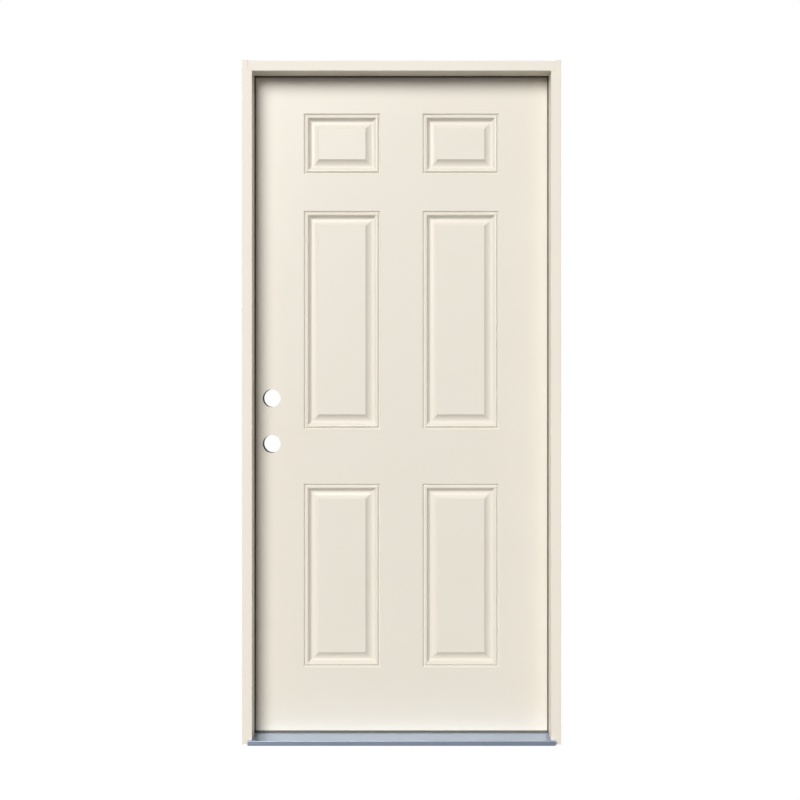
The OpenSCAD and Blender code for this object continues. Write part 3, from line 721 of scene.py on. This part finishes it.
def at_kerf(edge):
    """True for the arrises of the kerf, which stay sharp."""
    outwards = [max(abs(vert.co.x) - RABBET_X, vert.co.z - RABBET_Z) for vert in edge.verts]
    at_stop = all(abs(vert.co.y - STOP_Y) < 0.01 for vert in edge.verts)
    return at_stop and min(outwards) > 1 - STOP_W


def side_leg():
    """The right leg: its stop is cut off under the head and along the slope of the deck."""
    outline = [(RABBET_X + out, y, 0) for out, y in jamb_outline()]
    leg = extruded(outline, (0, 0, leg_high.z))
    above = block((STOP_X - 1, FRAME_FRONT - 1, STOP_Z), (RABBET_X, FRAME_BACK - 1, leg_high.z + 1))
    leg = cut(leg, above)
    front, back = FRAME_FRONT - 1, STOP_Y + 1
    foot = [(STOP_X - 1, front, -1), (STOP_X - 1, back, -1),
            (STOP_X - 1, back, deck_height(back)), (STOP_X - 1, front, deck_height(front))]
    leg = cut(leg, extruded(foot, (STOP_W + 1, 0, 0)))
    # These cuts are primed with the rest. The later ones, for the fittings, are bare.
    for face in leg.faces:
        face.material_index = 0
    ease(leg, EASED, lambda edge: runs_along(edge, "Z") and not at_kerf(edge))
    for joint in JOINT_Z:
        leg = cut(leg, joint_holes(JOINT_Y[joint], JOINT_Z[joint], 2 * JAMB_T))
    return leg


def frame_timber():
    """The two legs, cut for hinges or for strikes, and the head between them."""
    paint = [PINE_PRIMER["Z"], PINE["Z"]]
    leg = cut(side_leg(), hinge_pockets(1))
    piece("hinge_side_leg", leg, "frame", ["hinge_jamb"], paint)
    strikes = bmesh.new()
    for z in BORE_Z:
        put(strikes, latch_plate(STRIKE_D), Matrix.Translation((-RABBET_X, LEAF_MID, z)))
    leg = cut(mirrored(side_leg()), strikes)
    holes = bmesh.new()
    for z in BORE_Z:
        put(holes, crosswise(LATCH_R, -OUTER_X - 1, 1 - RABBET_X, (0, LEAF_MID, z), "X"))
    leg = cut(leg, holes)
    piece("strike_side_leg", leg, "frame", ["strike_jamb"], paint)
    outline = [(-RABBET_X, y, RABBET_Z + out) for out, y in jamb_outline()]
    head = extruded(outline, (2 * RABBET_X, 0, 0))
    ease(head, EASED, lambda edge: not at_kerf(edge) and (runs_along(edge, "X") or at_front(edge)))
    piece("head_bar", head, "frame", ["head_jamb"], [PINE_PRIMER["X"]])


def bulb_outline():
    """The closed section of the weatherstrip's bulb, placed as jamb_outline places it."""
    radius = SEAL_T / 2
    nose = radius - SEAL_NOSE
    back = -KERF_INSET / 2
    arc = []
    for t in [0.0] + steps(16):
        angle = math.radians(90 + 180 * t)
        arc.append((nose + radius * math.cos(angle), STOP_Y + radius + radius * math.sin(angle)))
    return arc + [(back, STOP_Y), (back, STOP_Y + SEAL_T - BULB_CORNER),
                  (back - BULB_CORNER, STOP_Y + SEAL_T)]


def barb_outline():
    """The section of the barb that holds the weatherstrip in its kerf."""
    near, far = -KERF_INSET - BARB_FIT, -KERF_INSET - KERF_W + BARB_FIT
    middle = (near + far) / 2
    return [(near, STOP_Y), (near, STOP_Y - BARB_D + BARB_TIP), (middle, STOP_Y - BARB_D),
            (far, STOP_Y - BARB_D + BARB_TIP), (far, STOP_Y)]


def mitred(bm, keep_below):
    """Cuts a seal along the 45 degree plane through the corner of the rabbet."""
    normal = (-1, 0, 1) if keep_below else (1, 0, -1)
    geometry = bm.verts[:] + bm.edges[:] + bm.faces[:]
    bmesh.ops.bisect_plane(bm, geom=geometry, plane_co=(RABBET_X, 0, RABBET_Z), plane_no=normal,
                           clear_outer=True)
    open_edges = [edge for edge in bm.edges if edge.is_boundary]
    bmesh.ops.holes_fill(bm, edges=open_edges)
    bmesh.ops.dissolve_degenerate(bm, dist=1e-3, edges=bm.edges)
    return bm


def seals():
    """Weatherstrip on three sides, mitred at the head."""
    for name, node in (("hinge_side_weatherstrip", "hinge_side_seal"),
                       ("strike_side_weatherstrip", "strike_side_seal")):
        foot = seal_low.z
        bulb = extruded([(RABBET_X + out, y, foot) for out, y in bulb_outline()],
                        (0, 0, RABBET_Z - foot))
        seal = mitred(bulb, True)
        put(seal, extruded([(RABBET_X + out, y, foot) for out, y in barb_outline()],
                           (0, 0, STOP_Z - BARB_GAP - foot)))
        if node == "strike_side_seal":
            seal = mirrored(seal)
        piece(name, seal, "frame", [node], [WEATHERSTRIP])
    half = bar_high.x
    bulb = extruded([(-half, y, RABBET_Z + out) for out, y in bulb_outline()], (2 * half, 0, 0))
    seal = mitred(mirrored(mitred(bulb, False)), False)
    put(seal, extruded([(-half, y, RABBET_Z + out) for out, y in barb_outline()], (2 * half, 0, 0)))
    piece("head_weatherstrip", seal, "frame", ["head_seal"], [WEATHERSTRIP])


# ---------------------------------------------------------------- sill


def sill():
    """The aluminium deck: a sloping top, a rounded nose and a flange at the back."""
    front, back = deck_low.y + DECK_T, deck_high.y - DECK_T
    flange_foot = deck_high.z - DECK_T - FLANGE_H
    top = deck_height(deck_low.y + NOSE_R) - NOSE_R
    outline = [(front, 0), (deck_low.y, 0)]
    outline += [(deck_low.y + NOSE_R + NOSE_R * math.cos(math.radians(180 - 90 * t)),
                 top + NOSE_R * math.sin(math.radians(180 - 90 * t))) for t in [0.0] + steps(8)]
    outline += [(deck_high.y, deck_high.z), (deck_high.y, flange_foot), (back, flange_foot),
                (back, deck_height(back) - DECK_T), (front, deck_height(front) - DECK_T)]
    deck = extruded([(-RABBET_X, y, z) for y, z in outline], (2 * RABBET_X, 0, 0))
    piece("sill_deck_extrusion", deck, "frame", ["sill_deck"], [ALUMINIUM])


# ---------------------------------------------------------------- screws and hinges


def screw(length):
    """A countersunk screw with a cross recess, head up, along Z, with its top at z = 0."""
    body = turned([(0, 0), (SCREW_HEAD_R - HEAD_SOFT, 0), (SCREW_HEAD_R, -HEAD_SOFT),
                   (SCREW_HEAD_R, -HEAD_RIM), (SCREW_R, -SCREW_HEAD_H),
                   (SCREW_R, 2 * SCREW_R - length), (0, -length)], segments=32)
    for turn in (0, 90):
        blade = block((-RECESS_REACH, -RECESS_HALF, -RECESS_D), (RECESS_REACH, RECESS_HALF, 1))
        low = [vert for vert in blade.verts if vert.co.z < 0]
        bmesh.ops.scale(blade, vec=(0.45, 0.8, 1), verts=low)
        spin = Matrix.Rotation(math.radians(turn), 3, "Z")
        bmesh.ops.rotate(blade, verts=blade.verts, matrix=spin)
        body = cut(body, blade)
    return body


def screws(name, node, body, material, length, places):
    """Copies of one screw, one at each place."""
    one = screw(length)
    bm = bmesh.new()
    for place in places:
        put(bm, one, place)
    piece(name, bm, body, [node], [material, material], crease=40)


def facing(x, y, z, way):
    """A place whose Z axis points along X (way 1), against X (way -1) or up (way 0)."""
    return Matrix.Translation((x, y, z)) @ Matrix.Rotation(math.radians(90) * way, 4, "Y")


def joint_screws():
    """The screws through the legs into the head and the sill, and those of the threshold cap."""
    for joint in JOINT_Z:
        places = [facing(way * (OUTER_X - HEAD_SINK), y, JOINT_Z[joint], way)
                  for way in (-1, 1) for y in JOINT_Y[joint]]
        screws(joint + "_joint_screw_set", joint + "_joint_screws", "frame", ZINC,
               CORNER_SCREW_L, places)
    middle = (deck_high.y + FRAME_BACK) / 2
    places = [facing(share * RABBET_X, middle, cap_high.z, 0) for share in CAP_SHARES]
    screws("cap_screw_set", "threshold_cap_screws", "frame", NICKEL,
           CAP_SCREW_L, places)


def knuckle(low, high):
    """One knuckle of a hinge: a tube round the pin with eased ends."""
    inner, outer, soft = PIN_R + PIN_FIT, BARREL_R, KNUCKLE_SOFT
    bm = bmesh.new()
    section = [(inner, low), (outer - soft, low), (outer, low + soft), (outer, high - soft),
               (outer - soft, high), (inner, high)]
    points = [bm.verts.new((r, 0, z)) for r, z in section]
    ring = [bm.edges.new((points[i - 1], points[i])) for i in range(len(points))]
    bmesh.ops.spin(bm, geom=points + ring, axis=(0, 0, 1), cent=(0, 0, 0), steps=48,
                   angle=2 * math.pi, use_merge=True)
    bmesh.ops.recalc_face_normals(bm, faces=bm.faces)
    return bm


def hinge_half(side):
    """A hinge plate with its knuckles, round its own axis: 1 for the jamb's, -1 for the leaf's."""
    far = -AXIS_OUT - HINGE_REACH
    plate = rounded_plate(HINGE_H, -PLATE_END, far, HINGE_R, HINGE_T)
    ease(plate, PLATE_SOFT, lambda edge: all(vert.co.x < 0.01 for vert in edge.verts), segments=2)
    pitch = HINGE_H / KNUCKLES
    bm = bmesh.new()
    put(bm, plate)
    for i in range(0 if side > 0 else 1, KNUCKLES, 2):
        low = i * pitch - HINGE_H / 2 + KNUCKLE_GAP / 2
        high = low + pitch - KNUCKLE_GAP
        put(bm, block((0, -PLATE_END - WEB_LAP, low), (HINGE_T, -0.75 * BARREL_R, high)))
    bmesh.ops.translate(bm, verts=bm.verts, vec=(LEAF_GAP / 2, 0, 0))
    holes = bmesh.new()
    wide, narrow = SCREW_HEAD_R + SCREW_FIT, SCREW_R + SCREW_FIT
    sink = turned([(0, 1), (wide, 1), (wide, -HEAD_RIM), (narrow, -SCREW_HEAD_H), (narrow, -4),
                   (0, -4)], segments=32)
    for across, up in HINGE_HOLES:
        put(holes, sink, facing(LEAF_GAP / 2, -AXIS_OUT - across * HINGE_REACH,
                                up * HINGE_H / 2, -1))
    bm = cut(bm, holes)
    for i in range(0 if side > 0 else 1, KNUCKLES, 2):
        low = i * pitch - HINGE_H / 2 + KNUCKLE_GAP / 2
        put(bm, knuckle(low, low + pitch - KNUCKLE_GAP))
    return bm if side > 0 else mirrored(bm)


def hinge_pin():
    """A pin with a domed button for a head, its foot rounded."""
    top = (HINGE_H - KNUCKLE_GAP) / 2
    foot = -top - PIN_TIP
    section = [(0, foot), (PIN_R - 1, foot), (PIN_R - PIN_TIP_SOFT, foot + PIN_TIP_SOFT),
               (PIN_R, foot + 1), (PIN_R, top), (BARREL_R - PIN_HEAD_SOFT, top),
               (BARREL_R, top + PIN_HEAD_SOFT),
               (BARREL_R, top + PIN_HEAD_H / 2)]
    section += [(BARREL_R - PIN_HEAD_H / 2 * (1 - math.cos(math.pi / 2 * t)),
                 top + PIN_HEAD_H / 2 * (1 + math.sin(math.pi / 2 * t))) for t in steps(6)]
    return turned(section + [(0, top + PIN_HEAD_H)])


def hinges():
    """Three butt hinges, each of two plates, their screws and a pin."""
    for name in HINGE_NAMES:
        axis = at_hinge(name)
        place = Matrix.Translation(axis)
        for side, body, length in ((1, "frame", JAMB_SCREW_L), (-1, "door", LEAF_SCREW_L)):
            half = bmesh.new()
            put(half, hinge_half(side), place)
            node = name + "_hinge_" + body
            piece(name + "_" + body + "_plate", half, body, [node + "_leaf"],
                  [NICKEL, NICKEL])
            spots = [facing(axis.x + side * LEAF_GAP / 2, axis.y - AXIS_OUT - across * HINGE_REACH,
                            axis.z + up * HINGE_H / 2, -side) for across, up in HINGE_HOLES]
            screws(name + "_" + body + "_plate_screws", node + "_screws", body,
                   NICKEL, length, spots)
        pin = bmesh.new()
        put(pin, hinge_pin(), place)
        piece(name + "_pin", pin, "frame", [name + "_hinge_pin"], [NICKEL])


# ---------------------------------------------------------------- CAD nodes that keep their shape

KEPT = {"sill_base": COMPOSITE, "threshold_cap": CAP_VINYL, "door_sweep": SWEEP_VINYL,
        "top_rail": PINE["X"], "bottom_rail": PINE["X"], "foam_core": FOAM,
        "strike_corner_pad": WEATHERSTRIP, "hinge_corner_pad": WEATHERSTRIP}

# ---------------------------------------------------------------- set

# Soft suns: strength, then width, height and place round to the left of the camera in degrees
LIGHTS = {"key": (3.3, 35, 25, 20.5), "fill": (0.4, 60, 7, -72), "back_key": (2.9, 40, 25, 136)}

# The floor and the world look white, but light the door much less than white ones would
FLOOR_DROP = 0.0004
FLOOR_GREY = 0.22
FLOOR_GLOW = 1.16
FLOOR_GLOW_SHARE = 0.85
WORLD_SEEN = 1.0
WORLD_IN_GLOSS = 0.3
WORLD_LIGHT = 0.06

# Camera: place in metres, lens and sensor in millimetres
EYE = (-0.0046, -3.708, 1.09)
LENS = 54.8
SENSOR = 36
SHIFT_UP = -0.0238


def studio():
    """A pale floor, soft lights before and behind the door, and a weak light all round."""
    bm = bmesh.new()
    bmesh.ops.create_circle(bm, cap_ends=True, segments=64, radius=30.0)
    mesh = bpy.data.meshes.new("floor")
    bm.to_mesh(mesh)
    bm.free()
    floor = bpy.data.objects.new("floor", mesh)
    floor.location.z = -FLOOR_DROP
    bpy.context.scene.collection.objects.link(floor)
    material, tree, _ = start_material("white_floor")
    paint = add(tree, "ShaderNodeBsdfDiffuse",
                {"Color": (FLOOR_GREY, FLOOR_GREY, FLOOR_GREY, 1)})
    glow = add(tree, "ShaderNodeEmission", {"Strength": FLOOR_GLOW})
    seen = add(tree, "ShaderNodeLightPath")
    share = add(tree, "ShaderNodeMath", {0: seen.outputs["Is Camera Ray"], 1: FLOOR_GLOW_SHARE},
                operation="MULTIPLY")
    mix = add(tree, "ShaderNodeMixShader", {0: share.outputs["Value"], 1: paint.outputs["BSDF"],
                                            2: glow.outputs["Emission"]})
    add(tree, "ShaderNodeOutputMaterial", {"Surface": mix.outputs["Shader"]})
    mesh.materials.append(material)

    world = bpy.data.worlds.new("studio")
    world.use_nodes = True
    tree = world.node_tree
    tree.nodes.clear()
    ray = add(tree, "ShaderNodeLightPath")
    base = add(tree, "ShaderNodeMapRange", {"Value": ray.outputs["Is Glossy Ray"],
                                            3: WORLD_LIGHT, 4: WORLD_IN_GLOSS})
    level = add(tree, "ShaderNodeMapRange", {"Value": ray.outputs["Is Camera Ray"],
                                             3: base.outputs["Result"], 4: WORLD_SEEN})
    sky = add(tree, "ShaderNodeBackground", {"Color": (1, 1, 1, 1),
                                             "Strength": level.outputs["Result"]})
    add(tree, "ShaderNodeOutputWorld", {"Surface": sky.outputs["Background"]})
    bpy.context.scene.world = world

    for name, (power, wide, up, left) in LIGHTS.items():
        light = bpy.data.lights.new(name, "SUN")
        light.energy = power
        light.angle = math.radians(wide)
        lamp = bpy.data.objects.new(name, light)
        lamp.rotation_euler = (math.radians(90 - up), 0, math.radians(-left))
        bpy.context.scene.collection.objects.link(lamp)


def camera():
    """Level, in front of the door, a little above its mid height."""
    eye = bpy.data.cameras.new("camera")
    eye.lens = LENS
    eye.sensor_width = SENSOR
    eye.shift_y = SHIFT_UP
    holder = bpy.data.objects.new("camera", eye)
    holder.location = EYE
    holder.rotation_euler = (math.radians(90), 0, 0)
    bpy.context.scene.collection.objects.link(holder)
    bpy.context.scene.camera = holder
    bpy.context.scene.view_settings.view_transform = "Standard"


leaf_skins()
leaf_timber()
frame_timber()
seals()
sill()
joint_screws()
hinges()
for node, material in KEPT.items():
    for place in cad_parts[node].material_slots:
        place.material = material
studio()
camera()
